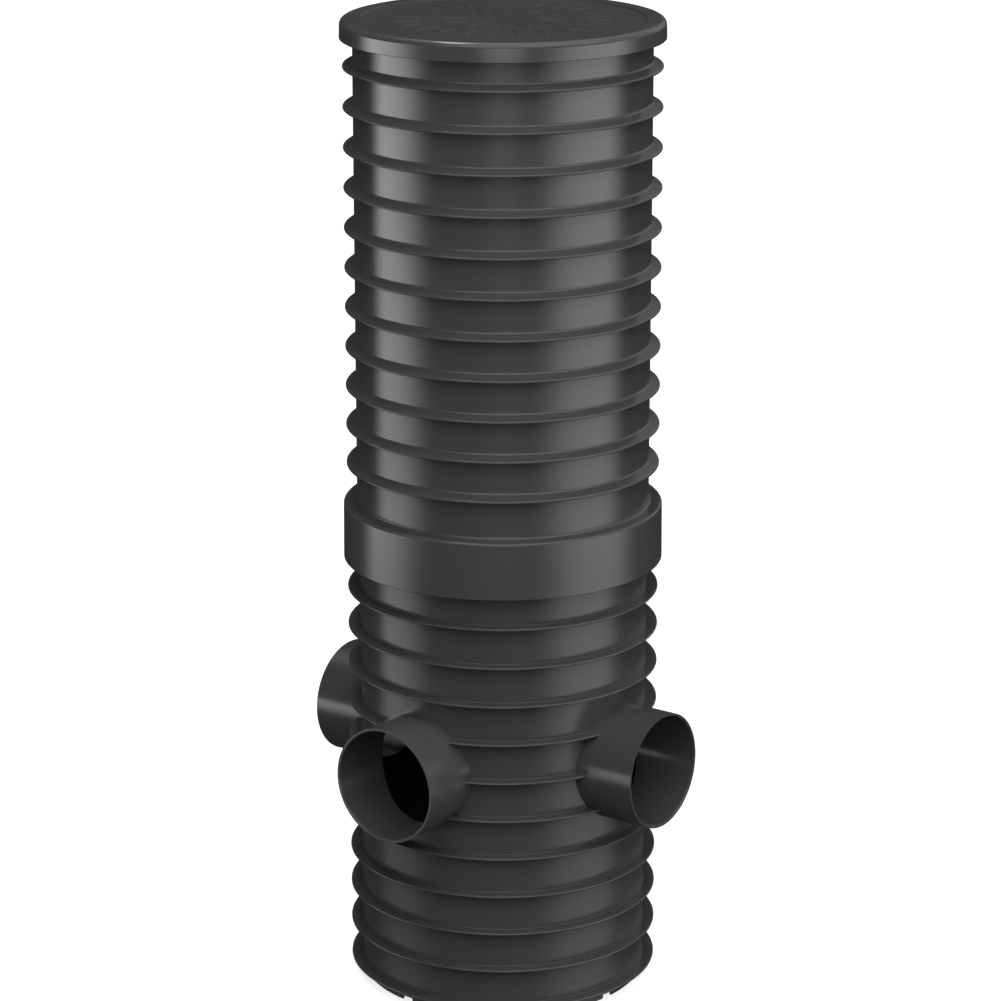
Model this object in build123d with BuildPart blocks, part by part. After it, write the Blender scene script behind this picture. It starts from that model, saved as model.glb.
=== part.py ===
from build123d import *

import math
import os

# A plastic drainage well in four pieces: a ribbed base with three pipe stubs, a ribbed riser
# that is pushed onto it over a rubber seal, and a lid.  Millimetres, +Z up.  The origin is on
# the well's axis, on the ground.

# Ribs, the same on the base and the riser
rib_pitch = 37.5
rib_height = 11.1
rib_edge = 2.2

# How far a rib or brace reaches into what carries it
root_depth = 1.0

# Base
base_radius = 136.2
base_wall = 4.0
base_ribs = 13
foot_height = 13.0
foot_chamfer = 1.7
floor_thickness = 4.0
hub_radius = 20.0
web_thickness = 3.0
web_count = 8
notch_width = 14.0
notch_height = 5.0
notch_start = -6.0
notch_count = 4
spigot_end = 5.0

# Pipe stubs, two in line and one branch, centred on a rib of the base.  Each is plain for the
# length that a pipe's socket takes, and swells by the mould's draft from there to its root.
stub_radius = 55.0
stub_wall = 2.7
stub_length = 38.0
stub_stop = 0.7
stub_draft = 1.0
ribs_below_stubs = 6
stub_angles = (0, 180, 270)

# Riser
riser_set_out = 1.7
riser_wall = 4.0
riser_ribs = 12
riser_rib_flare = 4.5
riser_end = 2.6

# Socket at the riser's foot
socket_clearance = 0.4
socket_wall = 2.7
socket_draft = 0.4
socket_overhang = 7.7
shoulder_thickness = 3.8
shoulder_chamfer = 2.5
mouth_chamfer = 1.0

# Rubber seal in the groove between the two upper ribs of the base
seal_height = 18.0
seal_web = 5.0
seal_land = 3.0
seal_clearance = 0.2

# Lid
lid_clearance = 0.4
lid_skirt_wall = 1.8
lid_skirt_depth = 13.9
lid_skirt_draft = 0.5
lid_thickness = 3.8
lid_edge_radius = 5.3
rim_width = 13.2
panel_recess = 1.0
guide_clearance = 0.5
guide_wall = 3.0
guide_depth = 12.0
brace_thickness = 2.5
brace_depth = 8.0
brace_count = 12
brace_hub_radius = 14.0
grip_height = 0.7
grip_width = 5.0
grip_length = 24.0
grip_rings = ((34.0, 12), (76.0, 24))

# Radii that follow
rib_radius = base_radius + rib_height
base_bore = base_radius - base_wall
riser_radius = base_radius + riser_set_out
riser_bore = riser_radius - riser_wall
socket_bore = rib_radius + socket_clearance
socket_radius = socket_bore + socket_wall
skirt_bore = rib_radius + lid_clearance
lid_radius = skirt_bore + lid_skirt_wall
panel_radius = lid_radius - lid_edge_radius - rim_width
guide_radius = riser_bore - guide_clearance
guide_bore = guide_radius - guide_wall
stub_seat = rib_radius + stub_stop
stub_reach = stub_seat + stub_length
stub_swell = stub_seat * math.tan(math.radians(stub_draft))

# Heights that follow
base_rib_heights = [foot_height + i * rib_pitch for i in range(base_ribs)]
base_top = base_rib_heights[-1] + spigot_end
stub_height = foot_height + ribs_below_stubs * rib_pitch
shoulder_top = base_top + shoulder_thickness
socket_mouth = base_rib_heights[-2] - socket_overhang
riser_rib_heights = [shoulder_top + (i + 1) * rib_pitch for i in range(riser_ribs)]
riser_top = riser_rib_heights[-1] + riser_end
lid_top = riser_top + lid_thickness
panel_top = lid_top - panel_recess


def ring(inner, outer, low, high):
    """The section of a ring between two radii and two heights."""
    with Locations(((inner + outer) / 2, (low + high) / 2)):
        Rectangle(outer - inner, high - low)


def ribs(wall_radius, heights, flare):
    """The sections of ribs on a wall: flat below, a narrow rim, and a flare onto the wall above."""
    half = rib_edge / 2
    root = wall_radius - root_depth
    with Locations([(0, height) for height in heights]):
        Polygon(
            (root, -half),
            (rib_radius, -half),
            (rib_radius, half),
            (wall_radius, half + flare),
            (root, half + flare),
            align=None,
        )


def stub_plane(angle):
    """The upright plane through the well's axis that faces out along a stub."""
    outward = Vector(1, 0, 0).rotate(Axis.Z, angle)
    return Plane((0, 0, stub_height), x_dir=(0, 0, 1), z_dir=outward)


with BuildPart() as base:
    with BuildSketch(Plane.XZ):
        ring(0, base_radius, 0, base_top)
        ribs(base_radius, base_rib_heights, 0)
    revolve(axis=Axis.Z)
    for angle in stub_angles:
        with BuildSketch(stub_plane(angle)):
            Circle(stub_radius + stub_swell)
        extrude(amount=stub_seat, taper=stub_draft)
        with BuildSketch(stub_plane(angle)):
            Circle(stub_radius)
        extrude(amount=stub_reach)
    # The chamber, open at the top, and the bores of the stubs that lead into it
    with BuildSketch(Plane.XY.offset(foot_height)):
        Circle(base_bore)
    extrude(amount=base_top - foot_height, mode=Mode.SUBTRACT)
    for angle in stub_angles:
        with BuildSketch(stub_plane(angle)):
            Circle(stub_radius - stub_wall)
        extrude(amount=stub_reach, mode=Mode.SUBTRACT)
    # Pockets under the floor, between the hub, the webs and the foot
    with BuildSketch():
        Circle(base_bore)
        Circle(hub_radius, mode=Mode.SUBTRACT)
        with PolarLocations(base_bore / 2, web_count, start_angle=180 / web_count):
            Rectangle(base_bore, web_thickness, mode=Mode.SUBTRACT)
    extrude(amount=foot_height - floor_thickness, mode=Mode.SUBTRACT)
    # Drain notches through the foot
    with BuildSketch():
        with PolarLocations(base_radius, notch_count, start_angle=notch_start):
            Rectangle(3 * base_wall, notch_width)
    extrude(amount=notch_height, mode=Mode.SUBTRACT)
    foot_edges = base.edges().filter_by(GeomType.CIRCLE).group_by(Axis.Z)[0]
    chamfer(foot_edges.group_by(SortBy.RADIUS)[-1], foot_chamfer)
base.part.label = "base"


with BuildPart() as riser:
    with BuildSketch(Plane.XZ):
        ring(riser_bore, riser_radius, base_top, riser_top)
        ribs(riser_radius, riser_rib_heights[:-1], riser_rib_flare)
        ribs(riser_radius, riser_rib_heights[-1:], 0)
        # Socket and shoulder, with a lead-in at the mouth
        Polygon(
            (riser_bore, base_top),
            (socket_bore, base_top),
            (socket_bore, socket_mouth + mouth_chamfer),
            (socket_bore + mouth_chamfer, socket_mouth),
            (socket_radius + socket_draft, socket_mouth),
            (socket_radius, shoulder_top - shoulder_chamfer),
            (socket_radius - shoulder_chamfer, shoulder_top),
            (riser_radius + shoulder_chamfer, shoulder_top),
            (riser_radius, shoulder_top + shoulder_chamfer),
            (riser_bore, shoulder_top + shoulder_chamfer),
            align=None,
        )
    revolve(axis=Axis.Z)
riser.part.label = "riser"


with BuildPart() as seal_ring:
    seat = base_rib_heights[-2] + rib_edge / 2
    inner = base_radius + seal_clearance
    outer = socket_bore - seal_clearance
    with BuildSketch(Plane.XZ):
        Polygon(
            (inner, seat),
            (inner + seal_web, seat),
            (outer, seat + (seal_height - seal_land) / 2),
            (outer, seat + (seal_height + seal_land) / 2),
            (inner + seal_web, seat + seal_height),
            (inner, seat + seal_height),
            align=None,
        )
    revolve(axis=Axis.Z)
seal_ring.part.label = "seal_ring"


with BuildPart() as lid:
    with BuildSketch(Plane.XZ):
        ring(0, lid_radius, riser_top, lid_top)
        Polygon(
            (skirt_bore, riser_top),
            (skirt_bore + lid_skirt_draft, riser_top - lid_skirt_depth),
            (lid_radius + lid_skirt_draft, riser_top - lid_skirt_depth),
            (lid_radius, lid_top),
            (skirt_bore, lid_top),
            align=None,
        )
        ring(guide_bore, guide_radius, riser_top - guide_depth, panel_top)
        ring(0, brace_hub_radius, riser_top - brace_depth, panel_top)
    revolve(axis=Axis.Z)
    fillet(lid.edges().filter_by(GeomType.CIRCLE).group_by(Axis.Z)[-1], lid_edge_radius)
    # The panel inside the raised rim
    with BuildSketch(Plane.XY.offset(lid_top)):
        Circle(panel_radius)
    extrude(amount=-panel_recess, mode=Mode.SUBTRACT)
    # Braces under the panel, from the hub to the guide ring
    with BuildSketch(Plane.XY.offset(riser_top - brace_depth)):
        with PolarLocations((brace_hub_radius + guide_bore) / 2, brace_count):
            Rectangle(guide_bore - brace_hub_radius + root_depth, brace_thickness)
    extrude(amount=brace_depth)
    # Rings of short raised grip bars
    with BuildSketch(Plane.XY.offset(panel_top)):
        for start, count in grip_rings:
            with PolarLocations(start + grip_length / 2, count):
                Rectangle(grip_length, grip_width)
    extrude(amount=grip_height)
lid.part.label = "lid"


os.makedirs("parts", exist_ok=True)
export_step(base.part, "parts/base.step")
export_step(riser.part, "parts/riser.step")
export_step(seal_ring.part, "parts/seal_ring.step")
export_step(lid.part, "parts/lid.step")
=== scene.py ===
import math

import bmesh
import bpy
from mathutils import Matrix, Vector


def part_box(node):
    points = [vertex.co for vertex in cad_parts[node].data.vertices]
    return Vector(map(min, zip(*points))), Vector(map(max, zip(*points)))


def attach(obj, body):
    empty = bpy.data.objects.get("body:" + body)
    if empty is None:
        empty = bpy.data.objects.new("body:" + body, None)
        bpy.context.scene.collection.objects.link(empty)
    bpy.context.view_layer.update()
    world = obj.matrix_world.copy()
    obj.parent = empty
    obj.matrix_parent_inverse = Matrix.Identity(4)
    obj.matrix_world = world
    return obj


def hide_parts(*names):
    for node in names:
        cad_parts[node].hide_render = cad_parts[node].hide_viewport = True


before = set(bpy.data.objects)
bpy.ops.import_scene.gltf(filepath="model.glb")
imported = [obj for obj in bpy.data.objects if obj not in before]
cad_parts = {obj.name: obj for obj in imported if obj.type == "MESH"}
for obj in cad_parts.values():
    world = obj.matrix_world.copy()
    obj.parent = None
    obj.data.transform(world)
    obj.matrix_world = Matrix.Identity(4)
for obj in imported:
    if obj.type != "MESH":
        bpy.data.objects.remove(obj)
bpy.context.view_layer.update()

# Scale and smoothness
MM = 0.001
SPIN_STEPS = 192
STUB_STEPS = 128
SHARP_ANGLE = math.radians(35)

# How close to a circle a vertex has to lie to count as on it
near = 0.02 * MM

# Levels and radii that bound the pieces, from the frame
base_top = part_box("base")[1].z
stub_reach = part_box("base")[1].x
socket_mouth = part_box("riser")[0].z
riser_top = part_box("riser")[1].z
skirt_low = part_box("lid")[0].z
lid_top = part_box("lid")[1].z
lid_mouth_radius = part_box("lid")[1].x

# Ribs of the base and the riser
rib_pitch = 37.5 * MM
rib_radius = 147.3 * MM
rib_half = 1.1 * MM
rib_rim_round = 0.9 * MM
rib_under_round = 1.2 * MM
base_root_round = 0.6 * MM
riser_root_round = 1.6 * MM

# Base
base_radius = 136.2 * MM
base_bore = 132.2 * MM
first_base_rib = 13.0 * MM
base_ribs = 13
floor_under = 9.0 * MM
floor_top = 13.0 * MM
foot_chamfer = 1.7 * MM
hub_radius = 20.0 * MM
web_thickness = 3.0 * MM
web_count = 8
notch_size = (12.0 * MM, 14.0 * MM, 5.0 * MM)
notch_start = math.radians(-6)
notch_count = 4

# Stubs
stub_height = 238.0 * MM
stub_radius = 55.0 * MM
stub_bore = 52.3 * MM
stub_root = 110.0 * MM
stub_rim_round = 0.6 * MM
stub_angles = (0, math.pi, -math.pi / 2)

# Riser and its socket
riser_radius = 137.9 * MM
riser_bore = 133.9 * MM
first_riser_rib = 509.3 * MM
riser_ribs = 12
riser_rib_flare = 4.5 * MM
shoulder_top = 471.8 * MM
socket_bore = 147.7 * MM
socket_top_radius = 150.4 * MM
socket_mouth_radius = 150.8 * MM
shoulder_round = 2.6 * MM
shoulder_root_round = 3.0 * MM
mouth_round = 0.7 * MM
mouth_lead_in = 1.0 * MM

# Seal
seal_seat = 426.6 * MM
seal_high = 444.6 * MM
seal_inner = 136.4 * MM
seal_outer = 147.5 * MM
seal_web = 5.0 * MM
seal_land = 3.0 * MM
seal_round = 0.8 * MM

# Lid
skirt_bore = 147.7 * MM
skirt_draft = 0.5 * MM
lid_radius = lid_mouth_radius - skirt_draft
lid_edge_round = 5.3 * MM
skirt_edge_round = 0.6 * MM
panel_radius = 131.0 * MM
panel_top = lid_top - 1.0 * MM
panel_edge_round = 0.4 * MM
guide_radius = 133.4 * MM
guide_bore = 130.4 * MM
guide_low = riser_top - 12.0 * MM
brace_low = riser_top - 8.0 * MM
brace_hub = 14.0 * MM
brace_thickness = 2.5 * MM
brace_count = 12
grip_length = 24.0 * MM
grip_width = 5.0 * MM
grip_height = 0.7 * MM
grip_round = 0.35 * MM
grip_rings = ((34.0 * MM, 12), (76.0 * MM, 24))

# How far one part of a moulding reaches into the next, so that they join
overlap = 2.0 * MM


def is_on(vert, corner):
    """Whether a vertex lies on the circle that a (radius, height) corner makes."""
    radius, height = corner
    return abs(math.hypot(vert.co.x, vert.co.y) - radius) < near and abs(vert.co.z - height) < near


def turned(section, steps=SPIN_STEPS):
    """A solid of revolution: a closed section of (radius, height) corners spun about Z."""
    bm = bmesh.new()
    corners = [bm.verts.new((radius, 0, height)) for radius, height in section]
    for start, end in zip(corners, corners[1:] + corners[:1]):
        if start.co.x > 0 or end.co.x > 0:
            bm.edges.new((start, end))
    bmesh.ops.spin(
        bm,
        geom=bm.verts[:] + bm.edges[:],
        cent=(0, 0, 0),
        axis=(0, 0, 1),
        angle=2 * math.pi,
        steps=steps,
        use_merge=True,
    )
    bmesh.ops.remove_doubles(bm, verts=bm.verts[:], dist=1e-6)
    bmesh.ops.recalc_face_normals(bm, faces=bm.faces[:])
    return bm


def round_rings(bm, corners, radius, segments):
    """Rounds the circular edges that run through the given (radius, height) corners."""
    rings = [e for e in bm.edges if any(all(is_on(v, corner) for v in e.verts) for corner in corners)]
    bmesh.ops.bevel(
        bm,
        geom=rings,
        offset=radius,
        offset_type="OFFSET",
        segments=segments,
        profile=0.5,
        affect="EDGES",
        material=-1,
    )


def add_block(bm, size, centre, angle=0, edge_round=0):
    """Adds a block of (length, width, height), placed at a centre and then turned about Z."""
    turn = Matrix.Rotation(angle, 4, "Z")
    move = Matrix.Translation(centre)
    scale = Matrix.Diagonal((*size, 1))
    verts = bmesh.ops.create_cube(bm, size=1, matrix=turn @ move @ scale)["verts"]
    if edge_round:
        edges = {edge for vert in verts for edge in vert.link_edges}
        bmesh.ops.bevel(
            bm,
            geom=list(edges),
            offset=edge_round,
            segments=2,
            profile=0.5,
            affect="EDGES",
            material=-1,
        )


def add_stub_solid(bm, angle, section):
    """Adds a solid of revolution about a stub's axis: a closed section of (radius, reach) corners."""
    solid = turned(section, STUB_STEPS)
    outward = Matrix.Rotation(angle, 4, "Z") @ Matrix.Rotation(math.pi / 2, 4, "Y")
    raised = Matrix.Translation((0, 0, stub_height))
    bmesh.ops.transform(solid, verts=solid.verts[:], matrix=raised @ outward)
    mesh = bpy.data.meshes.new("stub_solid")
    solid.to_mesh(mesh)
    solid.free()
    bm.from_mesh(mesh)
    bpy.data.meshes.remove(mesh)


def mesh_object(name, bm):
    """Turns a bmesh into an object at the origin."""
    mesh = bpy.data.meshes.new(name)
    bm.to_mesh(mesh)
    bm.free()
    made = bpy.data.objects.new(name, mesh)
    bpy.context.scene.collection.objects.link(made)
    return made


def combine(body, operation, tool):
    """Joins a tool solid to a body, or cuts it out, and deletes the tool."""
    modifier = body.modifiers.new(operation.lower(), "BOOLEAN")
    modifier.operation = operation
    modifier.solver = "EXACT"
    modifier.object = tool
    depsgraph = bpy.context.evaluated_depsgraph_get()
    result = bpy.data.meshes.new_from_object(body.evaluated_get(depsgraph))
    body.modifiers.clear()
    before = body.data
    body.data = result
    result.name = before.name
    for used in (before, tool.data):
        bpy.data.meshes.remove(used)


def dress(piece, material, node):
    """Smooths a finished piece but for its sharp edges, gives it its material, hangs it on the root body and
    hides the CAD part of its node.

    Normals weighted by area keep walls and rib faces true right up to their rounded edges.
    """
    piece.data.shade_smooth()
    piece.data.set_sharp_from_angle(angle=SHARP_ANGLE)
    weighted = piece.modifiers.new("true faces", "WEIGHTED_NORMAL")
    weighted.keep_sharp = True
    piece.data.materials.clear()
    piece.data.materials.append(material)
    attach(piece, "root")
    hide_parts(node)


def rib_levels(first, count):
    """The heights of a row of ribs."""
    return [first + i * rib_pitch for i in range(count)]


def rib_corners(wall, levels, flare=0):
    """The corners of ribs on a wall, from the lowest up, each with a flare onto the wall above."""
    corners = []
    for level in levels:
        corners += [
            (wall, level - rib_half),
            (rib_radius, level - rib_half),
            (rib_radius, level + rib_half),
            (wall, level + rib_half + flare),
        ]
    return corners


def round_ribs(bm, wall, levels, root_round, flare=0):
    """Rounds the rims of a row of ribs, and their roots above and below."""
    rims = [(rib_radius, level + side) for level in levels for side in (-rib_half, rib_half)]
    round_rings(bm, rims, rib_rim_round, 3)
    round_rings(bm, [(wall, level - rib_half) for level in levels], rib_under_round, 3)
    round_rings(bm, [(wall, level + rib_half + flare) for level in levels], root_round, 6)


def make_base():
    """The chamber: a ribbed wall on a webbed foot, with three bored stubs."""
    levels = rib_levels(first_base_rib, base_ribs)
    section = [
        (0, 0),
        (hub_radius, 0),
        (hub_radius, floor_under),
        (base_bore, floor_under),
        (base_bore, 0),
        (base_radius - foot_chamfer, 0),
        (base_radius, foot_chamfer),
        *rib_corners(base_radius, levels),
        (base_radius, base_top),
        (0, base_top),
    ]
    bm = turned(section)
    round_ribs(bm, base_radius, levels, base_root_round)
    base = mesh_object("chamber_base", bm)

    added = bmesh.new()
    for angle in stub_angles:
        solid = [(0, stub_root), (stub_radius, stub_root), (stub_radius, stub_reach), (0, stub_reach)]
        add_stub_solid(added, angle, solid)
    web_length = base_bore - hub_radius + 2 * overlap
    for i in range(web_count):
        size = (web_length, web_thickness, floor_under + overlap)
        centre = ((base_bore + hub_radius) / 2, 0, size[2] / 2)
        add_block(added, size, centre, (i + 0.5) * 2 * math.pi / web_count)
    combine(base, "UNION", mesh_object("stubs_and_webs", added))

    chamber_top = base_top + overlap
    chamber = turned([(0, floor_top), (base_bore, floor_top), (base_bore, chamber_top), (0, chamber_top)])
    combine(base, "DIFFERENCE", mesh_object("chamber_space", chamber))

    cut = bmesh.new()
    for angle in stub_angles:
        bore = [
            (0, stub_root),
            (stub_bore, stub_root),
            (stub_bore, stub_reach - stub_rim_round),
            (stub_bore + stub_rim_round, stub_reach),
            (stub_bore + stub_rim_round, stub_reach + overlap),
            (0, stub_reach + overlap),
        ]
        add_stub_solid(cut, angle, bore)
    for i in range(notch_count):
        length, width, height = notch_size
        size = (length, width, height + overlap)
        centre = (base_radius, 0, (height - overlap) / 2)
        add_block(cut, size, centre, notch_start + i * 2 * math.pi / notch_count)
    combine(base, "DIFFERENCE", mesh_object("bores_and_notches", cut))
    return base


def make_riser():
    """The shaft: a ribbed wall that widens at its foot into a socket."""
    levels = rib_levels(first_riser_rib, riser_ribs)
    section = [
        (riser_bore, base_top),
        (socket_bore, base_top),
        (socket_bore, socket_mouth + mouth_lead_in),
        (socket_bore + mouth_lead_in, socket_mouth),
        (socket_mouth_radius, socket_mouth),
        (socket_top_radius, shoulder_top),
        (riser_radius, shoulder_top),
        *rib_corners(riser_radius, levels[:-1], riser_rib_flare),
        *rib_corners(riser_radius, levels[-1:]),
        (riser_radius, riser_top),
        (riser_bore, riser_top),
    ]
    bm = turned(section)
    round_ribs(bm, riser_radius, levels[:-1], riser_root_round, riser_rib_flare)
    round_rings(bm, [(socket_mouth_radius, socket_mouth)], mouth_round, 3)
    round_rings(bm, [(socket_top_radius, shoulder_top)], shoulder_round, 6)
    round_rings(bm, [(riser_radius, shoulder_top)], shoulder_root_round, 5)
    return mesh_object("ribbed_riser", bm)


def make_seal():
    """The rubber ring in the groove under the socket, with a lip towards the socket's wall."""
    lip_low = (seal_seat + seal_high - seal_land) / 2
    corners = [
        (seal_inner, seal_seat),
        (seal_inner + seal_web, seal_seat),
        (seal_outer, lip_low),
        (seal_outer, lip_low + seal_land),
        (seal_inner + seal_web, seal_high),
        (seal_inner, seal_high),
    ]
    bm = turned(corners)
    round_rings(bm, corners, seal_round, 3)
    return mesh_object("joint_seal", bm)


def make_lid():
    """The cover: a skirt and a raised rim round a shallow panel with grip bars, braced below."""
    section = [
        (0, panel_top),
        (panel_radius, panel_top),
        (panel_radius, lid_top),
        (lid_radius, lid_top),
        (lid_mouth_radius, skirt_low),
        (skirt_bore + skirt_draft, skirt_low),
        (skirt_bore, riser_top),
        (guide_radius, riser_top),
        (guide_radius, guide_low),
        (guide_bore, guide_low),
        (guide_bore, riser_top),
        (brace_hub, riser_top),
        (brace_hub, brace_low),
        (0, brace_low),
    ]
    bm = turned(section)
    round_rings(bm, [(lid_radius, lid_top)], lid_edge_round, 10)
    round_rings(bm, [(lid_mouth_radius, skirt_low)], skirt_edge_round, 3)
    round_rings(bm, [(panel_radius, lid_top)], panel_edge_round, 3)
    lid = mesh_object("cover_lid", bm)

    added = bmesh.new()
    for i in range(brace_count):
        size = (guide_bore - brace_hub + overlap, brace_thickness, riser_top - brace_low + overlap / 2)
        centre = ((guide_bore + brace_hub) / 2, 0, brace_low + size[2] / 2)
        add_block(added, size, centre, i * 2 * math.pi / brace_count)
    for start, count in grip_rings:
        for i in range(count):
            size = (grip_length, grip_width, 2 * grip_height)
            centre = (start + grip_length / 2, 0, panel_top)
            add_block(added, size, centre, i * 2 * math.pi / count, grip_round)
    combine(lid, "UNION", mesh_object("braces_and_grips", added))
    return lid


def linear(code):
    """An sRGB hex colour as the linear colour that nodes take."""
    shares = [int(code[i : i + 2], 16) / 255 for i in (1, 3, 5)]
    return (*[s / 12.92 if s <= 0.04045 else ((s + 0.055) / 1.055) ** 2.4 for s in shares], 1)


def add_node(tree, kind, inputs=None, **settings):
    """Adds a node with its settings; each input takes a value, or a link from another node's output."""
    node = tree.nodes.new(kind)
    for name, value in settings.items():
        setattr(node, name, value)
    for name, value in (inputs or {}).items():
        if isinstance(value, bpy.types.NodeSocket):
            tree.links.new(value, node.inputs[name])
        else:
            node.inputs[name].default_value = value
    return node


def new_material(name):
    """An empty node material."""
    material = bpy.data.materials.new(name)
    material.use_nodes = True
    material.node_tree.nodes.clear()
    return material


def moulded_polypropylene(name, colour, flow_colour, roughness, grain):
    """Black polypropylene from a polished steel mould: semi-gloss, with broad soft flow marks.

    The mould's spark-eroded grain is about 0.1 mm, too fine to show, so it is drawn coarser here.
    """
    material = new_material(name)
    tree = material.node_tree
    where = add_node(tree, "ShaderNodeTexCoord").outputs["Object"]
    flow_size = 70 * MM
    flow_stretch = (1, 1, 0.4)
    gloss_change = 0.03
    grain_depth = 0.05 * MM
    stretch = add_node(tree, "ShaderNodeMapping", {"Vector": where, "Scale": flow_stretch}).outputs[0]
    flow = add_node(
        tree, "ShaderNodeTexNoise", {"Vector": stretch, "Scale": 1 / flow_size, "Detail": 3}
    ).outputs[0]
    grit = add_node(tree, "ShaderNodeTexNoise", {"Vector": where, "Scale": 1 / grain, "Detail": 2}).outputs[0]
    tint = add_node(
        tree,
        "ShaderNodeMix",
        {0: flow, 6: linear(colour), 7: linear(flow_colour)},
        data_type="RGBA",
    ).outputs[2]
    gloss = add_node(
        tree,
        "ShaderNodeMapRange",
        {
            "Value": flow,
            "From Min": 0.3,
            "From Max": 0.7,
            "To Min": roughness - gloss_change,
            "To Max": roughness + gloss_change,
        },
    ).outputs[0]
    relief = add_node(
        tree, "ShaderNodeBump", {"Height": grit, "Strength": 0.12, "Distance": grain_depth}
    ).outputs[0]
    shader = add_node(
        tree,
        "ShaderNodeBsdfPrincipled",
        {"Base Color": tint, "Roughness": gloss, "Normal": relief, "IOR": 1.49},
    )
    add_node(tree, "ShaderNodeOutputMaterial", {"Surface": shader.outputs[0]})
    return material


def epdm_rubber():
    """EPDM rubber, extruded and bonded to a ring: matt black with a faint sheen and fine talc specks."""
    material = new_material("EPDM rubber")
    tree = material.node_tree
    where = add_node(tree, "ShaderNodeTexCoord").outputs["Object"]
    speck_size = 1.5 * MM
    speck_depth = 0.05 * MM
    specks = add_node(
        tree, "ShaderNodeTexNoise", {"Vector": where, "Scale": 1 / speck_size, "Detail": 4}
    ).outputs[0]
    tint = add_node(
        tree,
        "ShaderNodeMix",
        {0: specks, 6: linear("#1a1a1a"), 7: linear("#242424")},
        data_type="RGBA",
    ).outputs[2]
    relief = add_node(
        tree, "ShaderNodeBump", {"Height": specks, "Strength": 0.2, "Distance": speck_depth}
    ).outputs[0]
    shader = add_node(
        tree,
        "ShaderNodeBsdfPrincipled",
        {"Base Color": tint, "Roughness": 0.7, "Normal": relief, "IOR": 1.52},
    )
    add_node(tree, "ShaderNodeOutputMaterial", {"Surface": shader.outputs[0]})
    return material


def studio_white(name, own_light, colour):
    """Matt white paper: its own light makes the background white, and its colour takes the shadow."""
    material = new_material(name)
    tree = material.node_tree
    shader = add_node(
        tree,
        "ShaderNodeBsdfPrincipled",
        {
            "Base Color": linear(colour),
            "Roughness": 1.0,
            "Specular IOR Level": 0.0,
            "Emission Color": (1, 1, 1, 1),
            "Emission Strength": own_light,
        },
    )
    add_node(tree, "ShaderNodeOutputMaterial", {"Surface": shader.outputs[0]})
    return material


# The camera of the photograph
camera_direction = math.radians(-53.7)
camera_distance = 3331.9 * MM
camera_height = 1439.8 * MM
camera_pitch = 0.2834316
camera_shift_left = 2.7 * MM
camera_lens = 131.87

towards_camera = Vector((math.cos(camera_direction), math.sin(camera_direction), 0))
camera_right = Vector((-towards_camera.y, towards_camera.x, 0))


def make_camera():
    """The camera, level with the photograph's and looking down at the well."""
    data = bpy.data.cameras.new("camera")
    data.lens = camera_lens
    camera = bpy.data.objects.new("camera", data)
    bpy.context.scene.collection.objects.link(camera)
    camera.location = towards_camera * camera_distance - camera_right * camera_shift_left
    camera.location.z = camera_height
    camera.rotation_euler = (math.pi / 2 - camera_pitch, 0, camera_direction + math.pi / 2)
    bpy.context.scene.camera = camera


def add_softbox(tree, direction, glow, patch):
    """Adds one soft-edged lit patch of the room to the glow of those before it.

    Its sides are angles to the camera's right, and its levels are angles above the horizon.
    """
    left, left_edge, right, right_edge, low, low_edge, high, high_edge, radiance = patch
    middle = (left + right) / 2
    facing = -(camera_direction + math.radians(middle))
    turned_to = add_node(
        tree, "ShaderNodeMapping", {"Vector": direction, "Rotation": (0, 0, facing)}, vector_type="POINT"
    ).outputs[0]
    parts = add_node(tree, "ShaderNodeSeparateXYZ", {0: turned_to}).outputs
    sideways = add_node(
        tree, "ShaderNodeMath", {0: parts["Y"], 1: parts["X"]}, operation="ARCTAN2"
    ).outputs[0]
    level = add_node(tree, "ShaderNodeMath", {0: parts["Z"]}, operation="ARCSINE").outputs[0]
    lit = radiance
    for angle, dark, bright in (
        (sideways, left - left_edge - middle, left + left_edge - middle),
        (sideways, right + right_edge - middle, right - right_edge - middle),
        (level, low - low_edge, low + low_edge),
        (level, high + high_edge, high - high_edge),
    ):
        share = add_node(
            tree,
            "ShaderNodeMapRange",
            {"Value": angle, "From Min": math.radians(dark), "From Max": math.radians(bright)},
            interpolation_type="SMOOTHSTEP",
        ).outputs[0]
        lit = add_node(tree, "ShaderNodeMath", {0: lit, 1: share}, operation="MULTIPLY").outputs[0]
    return add_node(tree, "ShaderNodeMath", {0: lit, 1: glow}, operation="ADD").outputs[0]


# Lit patches of the room, in degrees to the camera's right and above the horizon: left side,
# right side, low level and high level, each with its soft edge, and then the radiance
softboxes = (
    (-111, 10, -71, 17, -15.6, 9, -2, 2, 5.4),
    (41, 21, 96, 15, -17.6, 12, -2, 2, 3.6),
    (-12, 9, 12, 9, -6, 2, 2, 3, 4.4),
    (-45, 12, 88, 14, 24, 8, 100, 5, 1.5),
    (-67, 14, 57, 14, -14, 6, -5, 6, 0.26),
    (60, 20, 160, 20, 0, 8, 60, 10, 0.5),
    (110, 20, 250, 20, 50, 8, 100, 5, 1.0),
)
room_radiance = 0.03

# Lamps, both aimed at the lid: a strip above it and a wide key.  Sizes and distances in metres
strip_direction = camera_right * -0.288 + towards_camera * -0.104 + Vector((0, 0, 0.952))
strip_distance = 1.8
strip_length = 0.9
strip_width = 0.3
strip_energy = 9
key_direction = towards_camera + Vector((0, 0, 1))
key_distance = 2.9
key_size = 3.8
key_energy = 73

# Floor and backdrop
stage_radius = 16


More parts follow.
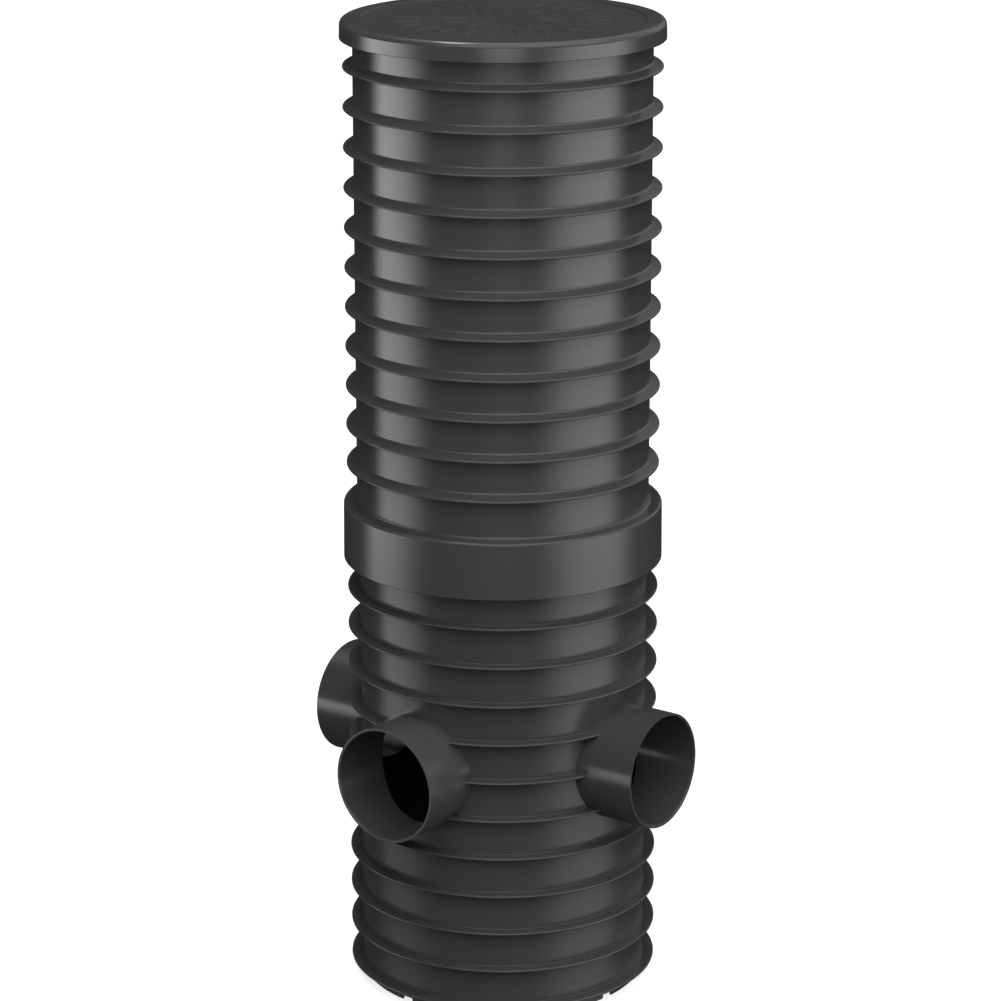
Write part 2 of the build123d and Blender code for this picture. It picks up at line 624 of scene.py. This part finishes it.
def make_room():
    """A dim studio with its softboxes, bright side patches that reach below the horizon included."""
    world = bpy.data.worlds.new("studio")
    world.use_nodes = True
    tree = world.node_tree
    tree.nodes.clear()
    direction = add_node(tree, "ShaderNodeTexCoord").outputs["Generated"]
    glow = room_radiance
    for patch in softboxes:
        glow = add_softbox(tree, direction, glow, patch)
    background = add_node(tree, "ShaderNodeBackground", {"Color": (1, 1, 1, 1), "Strength": glow})
    add_node(tree, "ShaderNodeOutputWorld", {"Surface": background.outputs[0]})
    bpy.context.scene.world = world


def add_lamp(name, kind, direction, distance, target, **settings):
    """Adds a lamp that points at a target from a direction, unseen by the camera."""
    data = bpy.data.lights.new(name, kind)
    for setting, value in settings.items():
        setattr(data, setting, value)
    lamp = bpy.data.objects.new(name, data)
    bpy.context.scene.collection.objects.link(lamp)
    lamp.location = target + direction.normalized() * distance
    lamp.rotation_euler = (-direction).to_track_quat("-Z", "Y").to_euler()
    lamp.visible_camera = False
    return lamp


def make_lamps():
    """A strip light above the lid, and a wide soft key from the camera's side that leaves no gloss."""
    over_lid = Vector((0, 0, lid_top))
    add_lamp(
        "lid_strip",
        "AREA",
        strip_direction,
        strip_distance,
        over_lid,
        shape="RECTANGLE",
        size=strip_length,
        size_y=strip_width,
        energy=strip_energy,
    )
    key = add_lamp(
        "front_key", "AREA", key_direction, key_distance, over_lid, size=key_size, energy=key_energy
    )
    key.visible_glossy = False


def make_stage():
    """A white floor that takes the shadow, and a white dome behind it."""
    floor_mesh = bmesh.new()
    bmesh.ops.create_circle(floor_mesh, cap_ends=True, segments=96, radius=stage_radius)
    floor = mesh_object("floor", floor_mesh)
    floor.data.materials.append(studio_white("white paper floor", 0.8, "#b4b4b4"))
    dome_mesh = bmesh.new()
    bmesh.ops.create_uvsphere(dome_mesh, u_segments=48, v_segments=24, radius=stage_radius)
    dome = mesh_object("backdrop", dome_mesh)
    dome.data.materials.append(studio_white("white paper backdrop", 1.0, "#000000"))
    for stage in (floor, dome):
        stage.visible_diffuse = False
        stage.visible_glossy = False
        stage.visible_transmission = False
        stage.visible_shadow = False


well_plastic = moulded_polypropylene("moulded black polypropylene", "#3a3a3b", "#3f3f40", 0.2, 1.2 * MM)
lid_plastic = moulded_polypropylene("moulded black polypropylene, lid", "#3a3a3b", "#3f3f40", 0.2, 1.0 * MM)
dress(make_base(), well_plastic, "base")
dress(make_riser(), well_plastic, "riser")
dress(make_seal(), epdm_rubber(), "seal_ring")
dress(make_lid(), lid_plastic, "lid")
make_camera()
make_room()
make_lamps()
make_stage()
bpy.context.scene.view_settings.view_transform = "Standard"
